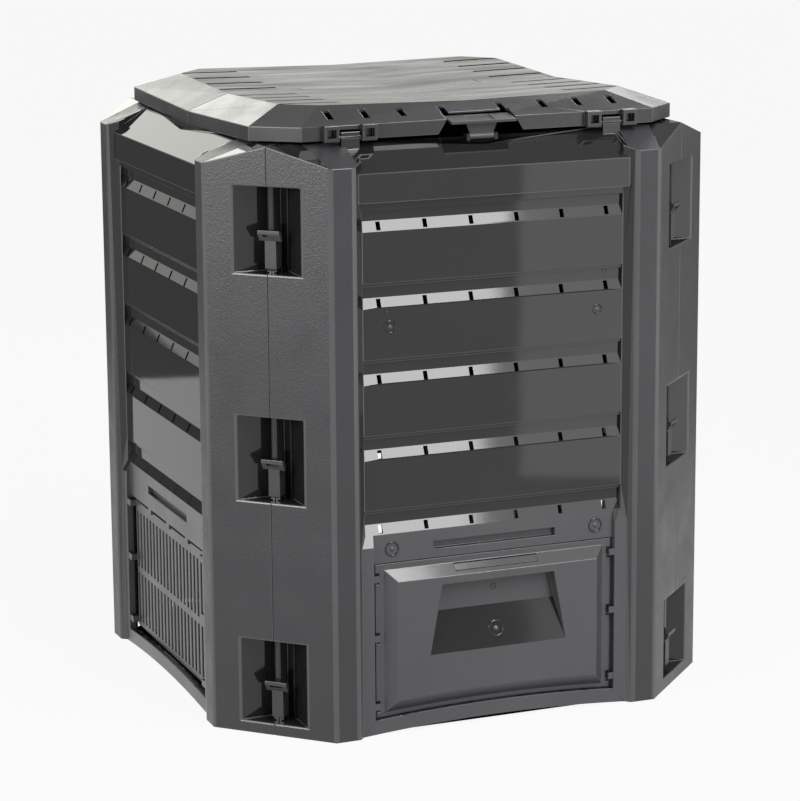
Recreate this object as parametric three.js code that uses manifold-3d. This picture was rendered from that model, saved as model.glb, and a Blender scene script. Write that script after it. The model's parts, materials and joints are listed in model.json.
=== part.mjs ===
// Garden compost bin: four identical-looking wall mouldings clipped together at the
// corners, a two-part folding lid, two lid latches and an emptying hatch.
// Millimetres, +Z up, front wall towards -Y, origin at the centre of the base.
import * as THREE from 'three';
import { mergeVertices } from 'three/addons/utils/BufferGeometryUtils.js';
import Module from 'manifold-3d';

const wasm = await Module();
wasm.setup();

// Plan of the bin
const binHalf = 359.5; // centre to the outermost wall plane
const cornerLeg = 127.2; // what a flat corner face takes off each wall
const columnFace = 33; // flat front of a corner column beside the boards
const sheet = 2.6; // moulded wall thickness
const seamGap = 0.3; // play between two walls at a corner seam
const fitGap = 0.3; // play between touching pieces
const overrun = 20; // how far a cutter runs past what it cuts
const cornerStart = binHalf - cornerLeg; // where the flat corner faces begin on each side
const columnInner = cornerStart - columnFace; // inner edge of the corner columns

// Depths behind the wall face
const bandDepth = 8; // top board, side bands and bottom band
const boardStep = 6.5; // louvre boards, strip and hatch flange behind the bands
const riserStep = 6; // set-back risers behind the boards
const lipDepth = 2.5; // small step along the bottom of each board
const returnDraftShare = 1; // slope of the column returns down to the boards
const boardDepth = bandDepth + boardStep;
const riserDepth = boardDepth + riserStep;

// Heights of the wall, from the ground up
const bandHeight = 20; // bottom band, following the arch of the wall's foot
const panelHeight = 213.5; // lower panel: grille or hatch
const stripHeight = 38.6; // slotted strip over the panel
const ledgeRise = 13.7;
const louvrePitch = 100;
const ledgeCount = 5;
const boardFoot = 81; // from a ledge's top down to the bottom of the board's face
const lipHeight = 4;
const topLipHeight = 10; // under the top board
const topRiser = 24; // from the first ledge up to the top board's face
const topBoardHeight = 38.2;
const columnRise = 10; // front edge of the column shoulders over the top board
const shoulderRise = 24.5;
const rimSetBack = 63.5; // rim behind the wall face
const rimCornerCut = 25;
const lipRoot = 40; // height of the rim wall
const columnSlope = 0.38;
const rimDip = 10.5; // the rim sinks towards the middle of each wall
const rimDipInset = 34; // ends of the dip beside the columns
const archRise = 8;
const archInset = 9;
const archSteps = 12;
const panelTopZ = bandHeight + panelHeight;
const ledgeFootZ = panelTopZ + stripHeight; // foot of the lowest ledge
const ledgeTopZ = ledgeFootZ + ledgeRise + (ledgeCount - 1) * louvrePitch; // top of the first ledge
const topBoardZ = ledgeTopZ + topRiser; // bottom of the top board's face
const boardTopZ = topBoardZ + topBoardHeight;
const shoulderZ = boardTopZ + columnRise; // front edge of the column shoulders
const rimZ = shoulderZ + shoulderRise;
const rimHalf = binHalf - rimSetBack;
const rimDipHalf = columnInner - rimDipInset;
const archHalf = columnInner - archInset;
const panelAt = (share) => bandHeight + share * panelHeight;

// Side bands and strip round the lower panel
const bandWidth = 25.3; // from the column's edge to the panel
const stripSlotHalf = 88;
const stripSlotDrop = 21.8; // slot's middle under the lowest ledge
const stripSlotHeight = 10.5;
const stripSlotDepth = 7;
const bandInner = columnInner - bandWidth;
const stripSlotZ = ledgeFootZ - stripSlotDrop;

// Ledge vents
const ventInset = 37.8; // last vent beside the column
const ventCount = 6;
const ventWidth = 6;
const ventMargin = 1.5;
const ventPitch = 2 * (columnInner - ventInset) / (ventCount - 1);

// Corner pockets and flanges
const pocketHalf = 49; // half the opening, along the corner face
const pocketHeight = 113;
const pocketSide = 50; // length of a pocket's side wall
const pocketFoot = 16; // floor of the lowest pocket
const pocketHeadroom = 27; // from the highest pocket up to the shoulder
const pocketPitch = (shoulderZ - pocketHeadroom - pocketHeight - pocketFoot) / 2;
const pocketBases = [pocketFoot, pocketFoot + pocketPitch, pocketFoot + 2 * pocketPitch];
const flangeWidth = 38;
const flangeThick = 3.2;
const flangeSetBack = 14; // front edge of the flanges behind the corner face
const clipStopHeight = 4;
const clipStopWidth = 3.4;

// Clips
const clipLift = 6; // clip foot above the pocket floor
const clipHeight = 40;
const clipHalf = 8;
const clipWeb = 3.2;
const clipReach = 13.4; // how far the cheeks run back beside the flanges
const clipHeadHalf = 15.5;
const clipHeadHeight = 10;
const clipHeadLean = 6.4;
const clipHeadThick = 4;
const clipSlotHalf = 9;
const clipSlotHeight = 3;

// Grille of the three plain walls: a slotted plate in an opening, held by tabs and bridges
const grilleGap = 14; // free width beside the plate
const grilleMargin = 3.2; // beside the first and last slot
const grilleSlotCount = 21;
const grilleSlotWidth = 7;
const grilleRowShares = [{ foot: 0.089, head: 0.428 }, { foot: 0.475, head: 0.859 }];
const grillePlateShare = { foot: 0.05, head: 0.926 };
const grilleOpeningShare = 0.948;
const grilleBridgePitch = 84.4;
const grilleBridgeHalf = 6.5;
const grilleHalf = bandInner - grilleGap;
const grilleSlotPitch = (2 * (grilleHalf - grilleMargin) - grilleSlotWidth) / (grilleSlotCount - 1);

// Hatch
const hatchPlay = 1.2; // gap over the hatch
const hatchSidePlay = 3.5;
const hatchStop = 10; // width of the frame that the hatch closes against
const hatchFlangeSide = 10.6;
const hatchFlangeTop = 7;
const hatchFlangeFoot = 4.7;
const hatchBevel = 16;
const hatchFootBevel = 18.6;
const hatchFaceRise = 14;
const scoopSide = 72.2; // from the hatch's side to the foot of the scoop
const scoopTaper = 17.7; // how much narrower the scoop is on top, on each side
const scoopFootShare = 0.395;
const scoopBendShare = 0.654;
const scoopTopShare = 0.838;
const scoopDepth = 16;
const gripInset = 20.6; // finger recess narrower than the scoop's top
const gripDepth = 3;
const gripShares = { low: 0.3, high: 0.85 }; // of the bevel's height
const tabShares = [0.091, 0.529, 0.909];
const tabHalf = 4.5;
const tabPlay = 1.3;
const tabReach = 7.5;
const tabProud = 6;
const tabSwing = 3; // room under a tab for the tilting hatch
const hatchHalf = bandInner - hatchSidePlay;
const scoopFootHalf = hatchHalf - scoopSide;
const scoopTopHalf = scoopFootHalf - scoopTaper;
const gripHalf = scoopTopHalf - gripInset;

// Lid
const lidOverhang = 6; // skirt outside the rim
const lidLift = 3.5; // skirt's foot over the rim
const lidSkirt = 19;
const lidRise = 21; // bevel from the skirt up to the top
const lidCornerLeg = 53;
const lidBevel = 56; // width of the bevel round the top
const plateauCornerLeg = 41;
const lidDip = 9; // the sides sink towards the fold
const lidDish = 4.5; // the top sinks towards the middle
const foldInset = 62; // outer ends of the ears from the skirt
const earWidth = 110;
const earReach = 25;
const tabDepth = 8;
const foldGap = 0.2;
const lidSlotInset = 44; // middle of a slot from the edge of the top
const lidSlotHalf = 41;
const lidSlotWidth = 9;
const lidSlotDepth = 1.2;
const lidSlotShares = [0.163, 0.386, 0.61, 0.833];
const bevelVentShares = [0.136, 0.331, 0.5, 0.666];
const bevelVentWidth = 9;
const bevelVentLow = 18; // from the skirt face to the vent
const bevelVentLength = 24;
const lidHalf = rimHalf + lidOverhang;
const lidCornerStart = lidHalf - lidCornerLeg;
const lidFootZ = rimZ + lidLift;
const lidEdgeZ = lidFootZ + lidSkirt;
const lidTopZ = lidEdgeZ + lidRise;
const plateauHalf = lidHalf - lidBevel;
const plateauCornerStart = plateauHalf - plateauCornerLeg;
const foldOuter = lidHalf - foldInset;
const foldInner = foldOuter - earWidth;
const lidSlotX = plateauHalf - lidSlotInset;

// Lid hinge points: a tongue with a cross pin on the wall, two loops on the lid
const hingeInset = 64; // from the end of the lid's straight side
const hingeReach = 4; // pin axis outside the skirt
const hingeLift = 4; // pin axis over the skirt's foot
const tongueHalf = 12.5;
const tongueThick = 5;
const tongueTop = 7;
const tongueRoot = 22;
const loopWidth = 20;
const loopGap = 16; // half the clear width between the loops
const loopFront = 6; // loop face in front of the pin axis
const loopFoot = 5;
const loopHead = 16;
const loopWall = 2.6;
const pinRadius = 2.75;
const pinPlay = 0.6;
const pinSides = 16;
const loopWindowHalf = 6;
const loopWindowHeight = 11;
const skirtCutTop = 9;
const hingeX = lidCornerStart - hingeInset;
const hingeY = lidHalf + hingeReach;
const hingeZ = lidFootZ + hingeLift;

// Latch
const latchInset = 1; // latch axis behind the skirt face
const latchDrop = 2; // latch axis under the rim
const latchPlateHalf = 46;
const latchPlateFront = 12; // plate edge in front of the latch's axis
const latchPlateBack = 18;
const latchPlateThick = 3.6;
const latchPlateZ = 22; // front edge of the plate above the axis
const latchPlateLean = 5; // how much higher the rear edge stands
const latchStemTop = 23;
const latchStemFoot = 17;
const latchStemThick = 5;
const latchBarrel = 4.5;
const latchPin = 2;
const latchPinLength = 3.5;
const latchLug = 4.5;
const latchLugHeight = 11;
const latchClearance = 2; // free height between the ears and the wider part of the stem
const latchGripHalf = 17;
const latchGripDepth = 1.6;
const latchGripRim = 4;
const latchCutPlay = 2; // notch beside the plate
const latchCutFlare = 12; // how much wider the notch is at the skirt's foot
const latchCutDepth = 23;
const latchY = lidHalf - latchInset;
const latchZ = rimZ - latchDrop;
const latchCutTop = latchPlateHalf + latchCutPlay;
const latchCutFoot = latchCutTop + latchCutFlare;

const darkPlastic = { color: 0x303134, roughness: 0.42, metalness: 0 };
const clipPlastic = { color: 0x26272a, roughness: 0.5, metalness: 0 };

const faceY = (depth) => depth - binHalf;
const cornerFace = (cornerStart + binHalf) / Math.SQRT2; // centre to a corner face
const seam = (cornerStart + binHalf) / 2;

// Turns closed three.js geometry into a solid that can be joined and cut
function toSolid(geometry) {
  geometry.deleteAttribute('normal');
  geometry.deleteAttribute('uv');
  const merged = mergeVertices(geometry);
  return new wasm.Manifold(new wasm.Mesh({
    numProp: 3,
    vertProperties: new Float32Array(merged.attributes.position.array),
    triVerts: new Uint32Array(merged.index.array),
  }));
}

// Extrudes an outline; axes gives where the outline's x, y and the depth point to
function extrude(points, from, to, axes) {
  const shape = new THREE.Shape(points.map(([x, y]) => new THREE.Vector2(x, y)));
  const geometry = new THREE.ExtrudeGeometry(shape, { depth: to - from, bevelEnabled: false });
  geometry.translate(0, 0, from);
  geometry.applyMatrix4(axes);
  return toSolid(geometry);
}

const upAxes = new THREE.Matrix4();
const alongAxes = new THREE.Matrix4().makeBasis(
  new THREE.Vector3(0, 1, 0), new THREE.Vector3(0, 0, 1), new THREE.Vector3(1, 0, 0));
const inwardAxes = new THREE.Matrix4().makeBasis(
  new THREE.Vector3(1, 0, 0), new THREE.Vector3(0, 0, 1), new THREE.Vector3(0, -1, 0));

const extrudeUp = (plan, z0, z1) => extrude(plan, z0, z1, upAxes);
const extrudeAlong = (profile, x0, x1) => extrude(profile, x0, x1, alongAxes);
const extrudeInward = (front, y0, y1) => extrude(front, -y1, -y0, inwardAxes);

function box(x0, x1, y0, y1, z0, z1) {
  const geometry = new THREE.BoxGeometry(x1 - x0, y1 - y0, z1 - z0);
  geometry.translate((x0 + x1) / 2, (y0 + y1) / 2, (z0 + z1) / 2);
  return toSolid(geometry);
}

// A round pin along X
function pin(x0, x1, y, z, radius) {
  const geometry = new THREE.CylinderGeometry(radius, radius, x1 - x0, pinSides);
  geometry.rotateZ(-Math.PI / 2);
  geometry.translate((x0 + x1) / 2, y, z);
  return toSolid(geometry);
}

// A closed body through rings of equal length, with a flat fan over each end.
// The rings run counter-clockwise seen from the last one.
function loft(rings, caps) {
  const count = rings[0].length;
  const positions = rings.flat(2);
  const index = [];
  for (let ring = 0; ring < rings.length - 1; ring += 1) {
    for (let i = 0; i < count; i += 1) {
      const next = (i + 1) % count;
      const a = ring * count + i;
      const b = ring * count + next;
      index.push(a, b, b + count, a, b + count, a + count);
    }
  }
  const lowCentre = positions.length / 3;
  positions.push(...caps[0], ...caps[1]);
  const top = (rings.length - 1) * count;
  for (let i = 0; i < count; i += 1) {
    const next = (i + 1) % count;
    index.push(lowCentre, next, i, lowCentre + 1, top + i, top + next);
  }
  const geometry = new THREE.BufferGeometry();
  geometry.setAttribute('position', new THREE.Float32BufferAttribute(positions, 3));
  geometry.setIndex(index);
  return toSolid(geometry);
}

// Moves a path sideways, to its left for a positive distance, with mitred corners
function offsetPath(path, distance) {
  const normals = path.slice(1).map(([x, y], i) => {
    const [px, py] = path[i];
    const length = Math.hypot(x - px, y - py);
    return [-(y - py) / length, (x - px) / length];
  });
  return path.map(([x, y], i) => {
    const before = normals[Math.max(i - 1, 0)];
    const after = normals[Math.min(i, normals.length - 1)];
    const spread = 1 + before[0] * after[0] + before[1] * after[1];
    const scale = distance / spread;
    return [x + (before[0] + after[0]) * scale, y + (before[1] + after[1]) * scale];
  });
}

const sheetOutline = (path, distance) => [...path, ...offsetPath(path, distance).reverse()];
const mirrored = (side, points) => points.map(([x, y]) => [side * x, y]);
const join = (solids) => solids.reduce((all, solid) => all.add(solid));
const cut = (solid, cutters) => cutters.reduce((rest, cutter) => rest.subtract(cutter), solid);

// A point of the front left corner: along the corner face from the seam, and behind it
function cornerPoint(along, depth) {
  return [-seam + (along + depth) / Math.SQRT2, -seam + (depth - along) / Math.SQRT2];
}

// Front left pocket: mouth edge, end of the side wall and rear wall at the seam
const pocketMouth = cornerPoint(pocketHalf, 0);
const pocketTurn = [pocketMouth[0], pocketMouth[1] + pocketSide];
const pocketRearDepth = (pocketTurn[0] + pocketTurn[1] + 2 * seam) / Math.SQRT2;
const pocketRear = cornerPoint(-overrun, pocketRearDepth);

const columnSlopeZ = (y) => shoulderZ + (y + binHalf) * columnSlope;
const shoulderFlatY = -binHalf + (rimZ - shoulderZ) / columnSlope;
const returnX = (depth) => columnInner - returnDraftShare * Math.min(depth, boardDepth);

// Everything below the sloping top of the columns
function underShoulder() {
  const farFront = -binHalf - overrun;
  const profile = [
    [farFront, -overrun], [farFront, columnSlopeZ(farFront)],
    [shoulderFlatY, rimZ], [0, rimZ], [0, -overrun],
  ];
  return extrudeAlong(profile, -2 * binHalf, 2 * binHalf);
}

function columnShell(side) {
  const path = [
    cornerPoint(-overrun, 0), [-cornerStart, -binHalf], [-columnInner, -binHalf],
    [-returnX(boardDepth), faceY(boardDepth)], [-returnX(boardDepth), faceY(riserDepth + sheet)],
  ];
  return extrudeUp(mirrored(side, sheetOutline(path, sheet)), 0, rimZ);
}

function cornerStrip(side, along, depthFrom, depthTo, z0, z1) {
  const plan = [
    cornerPoint(-overrun, depthFrom), cornerPoint(along, depthFrom),
    cornerPoint(along, depthTo), cornerPoint(-overrun, depthTo),
  ];
  return extrudeUp(mirrored(side, plan), z0, z1);
}

function pocketLining(side, base) {
  const path = [pocketMouth, pocketTurn, pocketRear];
  const outer = offsetPath(path, -sheet);
  const plate = [cornerPoint(-overrun, 0), cornerPoint(pocketHalf + sheet, 0), outer[1], outer[2]];
  const top = base + pocketHeight;
  const wallOutline = mirrored(side, sheetOutline(path, -sheet));
  return join([
    extrudeUp(wallOutline, base - sheet, top + sheet),
    extrudeUp(mirrored(side, plate), base - sheet, base),
    extrudeUp(mirrored(side, plate), top, top + sheet),
  ]);
}

function pocketSpace(side, base) {
  const plan = [
    cornerPoint(-overrun, -overrun), cornerPoint(pocketHalf, -overrun),
    pocketMouth, pocketTurn, pocketRear,
  ];
  const space = extrudeUp(mirrored(side, plan), base, base + pocketHeight);
  const bar = cornerStrip(side, flangeThick + seamGap / 2, flangeSetBack, flangeWidth, 0, rimZ);
  const stop = cornerStrip(side, flangeThick + clipStopWidth, flangeSetBack + fitGap,
    flangeSetBack + clipReach - fitGap, base + clipLift - fitGap - clipStopHeight,
    base + clipLift - fitGap);
  return cut(space, [bar, stop]);
}

function clipStop(side, base) {
  const top = base + clipLift - fitGap;
  return cornerStrip(side, flangeThick + clipStopWidth, flangeSetBack + fitGap,
    flangeSetBack + clipReach - fitGap, top - clipStopHeight, top);
}

function shoulder(side) {
  const plan = [
    [-columnInner, -binHalf], [-cornerStart, -binHalf], cornerPoint(-overrun, 0),
    [-rimHalf + rimCornerCut - overrun, -rimHalf + rimCornerCut + overrun],
    [-rimHalf + 2 * rimCornerCut, -rimHalf],
    [-returnX(bandDepth), -rimHalf], [-returnX(bandDepth), faceY(bandDepth)],
  ];
  const path = [[-binHalf, shoulderZ], [shoulderFlatY, rimZ], [-rimHalf / 2, rimZ]];
  const slab = extrudeAlong(sheetOutline(path, -sheet), -binHalf, binHalf);
  return extrudeUp(mirrored(side, plan), 0, rimZ + overrun).intersect(slab);
}

// Small upright wall between the raised column shoulder and the lower middle one
function shoulderStep(side) {
  const plan = [
    [-columnInner, -binHalf], [-columnInner - sheet, -binHalf], [-columnInner - sheet, -rimHalf],
    [-returnX(bandDepth), -rimHalf], [-returnX(bandDepth), faceY(bandDepth)],
  ];
  return extrudeUp(mirrored(side, plan), boardTopZ - 2 * sheet, rimZ);
}

// The middle of the wall in one folded profile, from the rim down to the floor
function louvreSheet() {
  const path = [[-rimHalf, rimZ - fitGap], [faceY(bandDepth), boardTopZ]];
  path.push([faceY(bandDepth), topBoardZ], [faceY(boardDepth), topBoardZ]);
  path.push([faceY(boardDepth), topBoardZ - topLipHeight]);
  path.push([faceY(riserDepth), topBoardZ - topLipHeight]);
  for (let i = 0; i < ledgeCount; i += 1) {
    const top = ledgeTopZ - i * louvrePitch;
    path.push([faceY(riserDepth), top], [faceY(boardDepth), top - ledgeRise]);
    if (i < ledgeCount - 1) {
      path.push([faceY(boardDepth), top - boardFoot], [faceY(boardDepth + lipDepth), top - boardFoot]);
      path.push([faceY(boardDepth + lipDepth), top - boardFoot - lipHeight]);
      path.push([faceY(riserDepth), top - boardFoot - lipHeight]);
    }
  }
  path.push([faceY(boardDepth), 0]);
  const reach = returnX(0) - lipDepth;
  return extrudeAlong(sheetOutline(path, sheet), -reach, reach);
}

function rimWall() {
  const corner = [-rimHalf + rimCornerCut - overrun, -rimHalf + rimCornerCut + overrun];
  const turn = [-rimHalf + 2 * rimCornerCut, -rimHalf];
  const path = [corner, turn, [-turn[0], turn[1]], [-corner[0], corner[1]]];
  return extrudeUp(sheetOutline(path, sheet), rimZ - lipRoot, rimZ);
}

function sideBand(side) {
  const run = boardStep * ledgeRise / riserStep;
  const profile = [
    [faceY(bandDepth), 0], [faceY(bandDepth), ledgeFootZ - run], [faceY(boardDepth), ledgeFootZ],
    [faceY(boardDepth + sheet), ledgeFootZ], [faceY(boardDepth + sheet), 0],
  ];
  const outer = returnX(0) - lipDepth;
  const ends = [side * bandInner, side * outer].sort((a, b) => a - b);
  return extrudeAlong(profile, ends[0], ends[1]);
}

const archLift = (x) => archRise * (1 - (x / archHalf) ** 2);

// Points from left to right that follow the arch at a given height over it
function archedLine(half, height) {
  return Array.from({ length: archSteps + 1 }, (_, i) => {
    const x = half * (2 * i / archSteps - 1);
    return [x, height + archLift(x)];
  });
}

function bottomBand() {
  const reach = returnX(0) - lipDepth;
  const front = [[-reach, 0], [reach, 0], ...archedLine(reach, bandHeight).reverse()];
  return extrudeInward(front, faceY(bandDepth), faceY(boardDepth + sheet));
}

function arch() {
  const front = [[-archHalf, -overrun], [archHalf, -overrun], ...archedLine(archHalf, 0).reverse()];
  return extrudeInward(front, -binHalf - overrun, faceY(riserDepth + overrun));
}

function ledgeVents() {
  const vents = [];
  for (let ledge = 0; ledge < ledgeCount; ledge += 1) {
    const top = ledgeTopZ - ledge * louvrePitch;
    for (let i = 0; i < ventCount; i += 1) {
      const x = (i - (ventCount - 1) / 2) * ventPitch;
      vents.push(box(x - ventWidth / 2, x + ventWidth / 2, faceY(boardDepth) - ventMargin,
        faceY(riserDepth) + overrun, top - ledgeRise + ventMargin, top - ventMargin));
    }
  }
  return vents;
}

function stripPocket() {
  return box(-stripSlotHalf - sheet, stripSlotHalf + sheet, faceY(boardDepth),
    faceY(boardDepth + stripSlotDepth + sheet), stripSlotZ - stripSlotHeight / 2 - sheet,
    stripSlotZ + stripSlotHeight / 2 + sheet);
}

function stripSlot() {
  return box(-stripSlotHalf, stripSlotHalf, faceY(boardDepth) - overrun,
    faceY(boardDepth + stripSlotDepth), stripSlotZ - stripSlotHeight / 2,
    stripSlotZ + stripSlotHeight / 2);
}

// The V by which the rim sinks towards the middle of the wall
function rimNotch() {
  const front = [
    [-rimDipHalf, rimZ], [0, rimZ - rimDip], [rimDipHalf, rimZ],
    [rimDipHalf, rimZ + overrun], [-rimDipHalf, rimZ + overrun],
  ];
  return extrudeInward(front, -binHalf, -rimHalf + overrun);
}

// A lid hinge point on the wall rim: a tongue and the ends of its cross pin
function hingeTongue(side) {
  const x = side * hingeX;
  const pinReach = loopGap + loopWall + fitGap;
  return join([
    box(x - tongueHalf, x + tongueHalf, -hingeY - tongueThick / 2, -hingeY + tongueThick / 2,
      hingeZ - tongueRoot, hingeZ + tongueTop),
    pin(x - pinReach, x + pinReach, -hingeY, hingeZ, pinRadius),
  ]);
}

// The two ears on the rim that carry a latch
function latchEars() {
  const inner = latchStemFoot + fitGap;
  return join([-1, 1].map((side) => {
    const [x0, x1] = [side * inner, side * (inner + latchLug)].sort((a, b) => a - b);
    const [p0, p1] = [side * (inner - latchPinLength), side * (inner + latchLug)].sort((a, b) => a - b);
    const ear = box(x0, x1, -latchY - latchBarrel, -rimHalf + sheet, latchZ - latchLugHeight,
      latchZ + latchBarrel);
    return ear.add(pin(p0, p1, -latchY, latchZ, latchPin));
  }));
}

// Opening of the lower panel, with the arched bottom band as its sill
function panelOpening(head) {
  const front = [...archedLine(bandInner, bandHeight), [bandInner, head], [-bandInner, head]];
  return extrudeInward(front, faceY(0), faceY(boardDepth + sheet + fitGap));
}

function grille() {
  const y0 = faceY(boardDepth + sheet + fitGap);
  const plate = box(-grilleHalf, grilleHalf, y0, y0 + sheet,
    panelAt(grillePlateShare.foot), panelAt(grillePlateShare.head));
  const columns = Array.from({ length: grilleSlotCount },
    (_, i) => (i - (grilleSlotCount - 1) / 2) * grilleSlotPitch);
  const slots = grilleRowShares.flatMap(({ foot, head }) => columns.map((x) => box(
    x - grilleSlotWidth / 2, x + grilleSlotWidth / 2, y0 - overrun, y0 + overrun,
    panelAt(foot), panelAt(head))));
  const bridges = [-1, 0, 1].map((i) => {
    const x = i * grilleBridgePitch;
    return box(x - grilleBridgeHalf, x + grilleBridgeHalf, faceY(boardDepth), y0 + sheet,
      panelAt(grillePlateShare.head) - sheet, panelAt(grilleOpeningShare) + sheet);
  });
  return [cut(plate, slots), ...bridges, ...panelTabs(grilleGap + grilleMargin / 2)];
}

// The front wall's frame round the hatch
function hatchFrame() {
  const y0 = faceY(boardDepth + sheet + fitGap);
  const plate = box(-bandInner - sheet, bandInner + sheet, y0, y0 + sheet,
    bandHeight - sheet, panelTopZ + sheet);
  return plate.subtract(box(-hatchHalf + hatchStop, hatchHalf - hatchStop, y0 - overrun, y0 + overrun,
    bandHeight + archRise + hatchStop, panelTopZ - hatchStop));
}

// The tabs that hold a lower panel, three on each side
function panelTabs(reach, play = 0, swing = 0) {
  const tabs = [];
  for (const side of [-1, 1]) {
    const ends = [side * (bandInner + fitGap), side * (bandInner - reach)].sort((a, b) => a - b);
    for (const z of tabShares.map(panelAt)) {
      tabs.push(box(ends[0], ends[1], faceY(boardDepth - tabProud), faceY(boardDepth + 2 * sheet),
        z - tabHalf - play - swing, z + tabHalf + play));
    }
  }
  return tabs;
}

function wallSector() {
  const far = 2 * binHalf;
  const half = seamGap / Math.SQRT2;
  return extrudeUp([[0, -half], [-far, -far - half], [far, -far - half]], -overrun, rimZ + 2 * overrun);
}

function wall(hasHatch, carriesLid) {
  const sides = [-1, 1];
  const columns = join(sides.flatMap((side) => [
    columnShell(-side),
    cornerStrip(-side, flangeThick + seamGap / 2, 0, flangeWidth, 0, rimZ),
    ...pocketBases.map((base) => pocketLining(-side, base)),
    ...pocketBases.map((base) => clipStop(-side, base)),
    shoulderStep(-side),
  ])).intersect(underShoulder());
  let body = join([
    columns, ...sides.map(shoulder), louvreSheet(), rimWall(), ...sides.map(sideBand),
    bottomBand(), stripPocket(),
  ]);
  const spaces = sides.flatMap((side) => pocketBases.map((base) => pocketSpace(side, base)));
  body = cut(body, [
    ...spaces, rimNotch(), arch(), stripSlot(), ...ledgeVents(),
  ]);
  body = body.intersect(wallSector());
  if (carriesLid) body = join([body, ...sides.map(hingeTongue), latchEars()]);
  if (!hasHatch) return join([body.subtract(panelOpening(panelAt(grilleOpeningShare))), ...grille()]);
  return join([body.subtract(panelOpening(panelTopZ)), hatchFrame(), ...panelTabs(tabReach)]);
}

// An upright outline with an arched foot, at a depth behind the wall face
function hatchRing(halfX, low, high, depth) {
  const y = faceY(depth);
  return [...archedLine(halfX, low), [halfX, high], [-halfX, high]].map(([x, z]) => [x, y, z]);
}

// A body between two upright outlines, the second one nearer to the viewer
function hatchBlock(back, front) {
  const centre = (ring) => [0, ring[0][1], (ring[0][2] + ring[ring.length - 1][2]) / 2];
  return loft([back, front], [centre(back), centre(front)]);
}

// Hand scoop: deep under its top edge, running out to the face at its foot
function scoopBody(grow) {
  const faceDepth = boardDepth - hatchFaceRise;
  const outside = grow > 0 ? faceDepth + sheet / 2 : faceDepth - overrun;
  const bendTaper = scoopTaper * (scoopTopShare - scoopBendShare) / (scoopTopShare - scoopFootShare);
  const levels = [
    { z: panelAt(scoopFootShare) - grow, half: scoopFootHalf + grow, depth: faceDepth + grow },
    {
      z: panelAt(scoopBendShare), half: scoopTopHalf + bendTaper + grow,
      depth: faceDepth + scoopDepth + grow,
    },
    {
      z: panelAt(scoopTopShare) + grow, half: scoopTopHalf + grow, depth: faceDepth + scoopDepth + grow,
    },
  ];
  const rings = levels.map(({ z, half, depth }) => [
    [-half, faceY(outside), z], [half, faceY(outside), z], [half, faceY(depth), z], [-half, faceY(depth), z],
  ]);
  const centre = (ring) => [0, (ring[0][1] + ring[2][1]) / 2, ring[0][2]];
  return loft(rings, [centre(rings[0]), centre(rings[2])]);
}

// Shallow finger recess along the hatch's top bevel
function gripBody(from, to, shrink) {
  const high = panelTopZ - hatchPlay - hatchFlangeTop;
  const path = [
    [faceY(boardDepth - hatchFaceRise), high - hatchBevel], [faceY(boardDepth), high],
  ];
  const outer = offsetPath(path, from);
  const inner = offsetPath(path, to);
  return extrudeAlong([...outer, ...inner.reverse()], -gripHalf + shrink, gripHalf - shrink);
}

function hatchDoor() {
  const half = hatchHalf;
  const low = bandHeight + fitGap;
  const high = panelTopZ - hatchPlay;
  const front = [...archedLine(half, low), [half, high], [-half, high]];
  const flange = extrudeInward(front, faceY(boardDepth), faceY(boardDepth + sheet));
  const foot = low + hatchFlangeFoot;
  const head = high - hatchFlangeTop;
  const wide = half - hatchFlangeSide;
  const near = boardDepth - hatchFaceRise;
  const raised = hatchBlock(hatchRing(wide, foot, head, boardDepth + sheet / 2),
    hatchRing(wide - hatchBevel, foot + hatchFootBevel, head - hatchBevel, near));
  const hollow = hatchBlock(
    hatchRing(wide - sheet, foot + sheet, head - sheet, boardDepth + 2 * sheet),
    hatchRing(wide - hatchBevel - sheet, foot + hatchFootBevel + sheet,
      head - hatchBevel - sheet, near + sheet));
  const shell = join([flange, raised]).subtract(hollow);
  const lined = join([shell, scoopBody(sheet), gripBody(-sheet, -gripDepth - sheet, -sheet)]);
  const open = cut(lined, [scoopBody(0), gripBody(overrun, -gripDepth, 0).intersect(
    box(-binHalf, binHalf, -binHalf - overrun, 0, head - hatchBevel * (1 - gripShares.low),
      head - hatchBevel * (1 - gripShares.high)))]);
  return cut(open, panelTabs(tabReach + tabPlay, tabPlay, tabSwing));
}

// One corner of a lid ring, then the others by mirroring, with a point on each middle
function lidRing(half, start, level, dish) {
  const quarter = [[half, 0], [half, start], [start, half], [0, half]];
  const plan = [
    ...quarter, ...quarter.slice(0, 3).reverse().map(([x, y]) => [-x, y]),
    ...quarter.slice(1).map(([x, y]) => [-x, -y]), ...quarter.slice(1, 3).reverse().map(([x, y]) => [x, -y]),
  ];
  return plan.map(([x, y]) => [
    x, y, level - lidDip * (1 - Math.abs(y) / half) - dish * (1 - Math.abs(x) / half),
  ]);
}

function lidBlock(inset, drop, footDrop) {
  const corner = inset * Math.tan(Math.PI / 8);
  const rings = [
    lidRing(lidHalf - inset, lidCornerStart - corner, lidFootZ - footDrop, 0),
    lidRing(lidHalf - inset, lidCornerStart - corner, lidEdgeZ - drop, 0),
    lidRing(plateauHalf - inset / 2, plateauCornerStart - corner / 2, lidTopZ - drop, lidDish),
  ];
  return loft(rings, [
    [0, 0, lidFootZ - footDrop - lidDip], [0, 0, lidTopZ - drop - lidDip - lidDish],
  ]);
}

// Plan of one lid half: the fold edge is stepped outside, at the ears and in the middle
function foldPlan(steps) {
  const [outer, ear, middle] = steps.map((step) => step - foldGap);
  const outerX = foldOuter + (steps[0] > steps[1] ? foldGap : -foldGap);
  const innerX = foldInner + (steps[1] > steps[2] ? foldGap : -foldGap);
  const edge = [[binHalf, outer], [outerX, outer], [outerX, ear], [innerX, ear], [innerX, middle]];
  return [
    [-binHalf, -binHalf], [binHalf, -binHalf], ...edge,
    ...edge.map(([x, y]) => [-x, y]).reverse(),
  ];
}

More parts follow.
